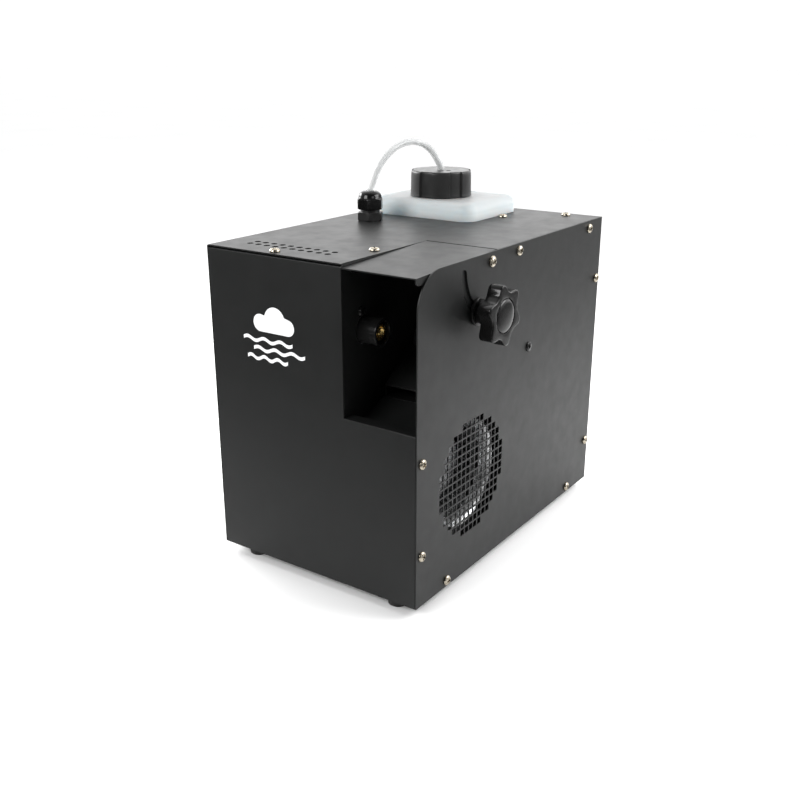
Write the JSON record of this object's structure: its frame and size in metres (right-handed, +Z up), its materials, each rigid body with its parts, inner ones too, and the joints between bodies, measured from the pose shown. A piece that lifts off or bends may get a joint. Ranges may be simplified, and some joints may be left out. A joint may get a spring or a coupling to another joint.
{
  "type": "fog machine",
  "caption": "Box-shaped fog machine with a tilting outlet flap held by a star knob, a round square-hole fan grille, and a fluid tank with a screw cap and hose on top.",
  "frame": {"origin": "centre of the bounding box without the hose, at the bottom of the feet", "axes": "+X towards the clamp knob and the fan grille, +Y towards the back, +Z up; the fog outlet faces -Y"},
  "size_m": [0.26, 0.3548, 0.3894],
  "materials": {
    "black_paint": "fine satin powder coat",
    "zinc_sheet": "galvanised",
    "nickel": "bright nickel plate",
    "brass": "turned",
    "aluminium": "cast, satin",
    "black_plastic": "moulded, slightly glossy",
    "black_rubber": "matt",
    "tank_plastic": "translucent blow-moulded polyethylene",
    "clear_hose": "clear flexible tube",
    "circuit_board": "solder mask",
    "display": "clear window over a dark display"
  },
  "bodies": {
    "case": {"base_tray": "black_paint", "front_panel": "black_paint", "rear_panel": "black_paint", "top_cover": "black_paint", "right_side_panel": "black_paint", "divider_wall": "zinc_sheet", "foot_front_left": "black_rubber", "foot_front_right": "black_rubber", "foot_rear_left": "black_rubber", "foot_rear_right": "black_rubber", "side_screw_front_high": "nickel", "side_screw_front_low": "nickel", "side_screw_bottom_front": "nickel", "side_screw_bottom_rear": "nickel", "side_screw_rear_low": "nickel", "side_screw_rear_high": "nickel", "side_screw_top_front": "nickel", "side_screw_top_rear": "nickel", "flap_pivot_screw": "nickel", "chamber_left_wall": "black_paint", "outlet_floor": "black_paint", "air_duct": "black_paint", "chamber_back": "black_paint", "nozzle_sleeve": "black_plastic", "brass_nozzle": "brass", "heater_block": "aluminium", "heater_jacket": "zinc_sheet", "blower_housing": "zinc_sheet", "blower_inlet_ring": "zinc_sheet", "blower_motor": "aluminium", "fluid_tank": "tank_plastic", "tank_shelf": "zinc_sheet", "dip_tube": "clear_hose", "gland_body": "black_plastic", "gland_nut": "black_plastic", "feed_hose": "clear_hose", "supply_hose": "clear_hose", "pressure_pipe": "nickel", "fluid_pump": "nickel", "pump_bracket": "zinc_sheet", "control_board": "circuit_board", "mains_inlet": "black_plastic", "switch_housing": "black_plastic", "xlr_in": "nickel", "xlr_out": "black_plastic", "display_unit": "display"},
    "flap": {"deflector_flap": "black_paint"},
    "knob": {"clamp_knob": "black_plastic", "clamp_stud": "nickel", "clamp_washer": "black_plastic"},
    "blower_rotor": {"blower_wheel": "zinc_sheet", "motor_shaft": "nickel"},
    "cap": {"tank_cap": "black_plastic"},
    "rocker": {"switch_rocker": "black_plastic"},
    "fuse": {"fuse_drawer": "black_plastic"},
    "menu_key": {"button_menu": "black_rubber"},
    "up_key": {"button_up": "black_rubber"},
    "down_key": {"button_down": "black_rubber"},
    "enter_key": {"button_enter": "black_rubber"}
  },
  "joints": [
    {"name": "flap_tilt", "type": "hinge", "parent": "case", "child": "flap", "pos_m": [0.06, -0.0608, 0.3015], "axis": [-1, 0, 0], "range_deg": [0, 52]},
    {"name": "clamp_knob_turn", "type": "hinge", "parent": "flap", "child": "knob", "pos_m": [0.11, -0.08428, 0.26148], "axis": [1, 0, 0], "range_deg": [0, 540]},
    {"name": "blower_wheel_spin", "type": "hinge", "parent": "case", "child": "blower_rotor", "pos_m": [0.055, -0.0851, 0.1064], "axis": [1, 0, 0], "continuous": true},
    {"name": "tank_cap_turn", "type": "hinge", "parent": "case", "child": "cap", "pos_m": [-0.059, 0.1052, 0.34], "axis": [0, 0, 1], "range_deg": [0, 540]},
    {"name": "power_rocker_tilt", "type": "hinge", "parent": "case", "child": "rocker", "pos_m": [0.02, 0.1682, 0.058], "axis": [-1, 0, 0], "range_deg": [0, 20]},
    {"name": "fuse_drawer_slide", "type": "slide", "parent": "case", "child": "fuse", "axis": [0, 1, 0], "range_m": [0, 0.012]},
    {"name": "menu_key_press", "type": "slide", "parent": "case", "child": "menu_key", "axis": [0, -1, 0], "range_m": [0, 0.0012], "stiffness_N_per_m": 300},
    {"name": "up_key_press", "type": "slide", "parent": "case", "child": "up_key", "axis": [0, -1, 0], "range_m": [0, 0.0012], "stiffness_N_per_m": 300},
    {"name": "down_key_press", "type": "slide", "parent": "case", "child": "down_key", "axis": [0, -1, 0], "range_m": [0, 0.0012], "stiffness_N_per_m": 300},
    {"name": "enter_key_press", "type": "slide", "parent": "case", "child": "enter_key", "axis": [0, -1, 0], "range_m": [0, 0.0012], "stiffness_N_per_m": 300}
  ]
}
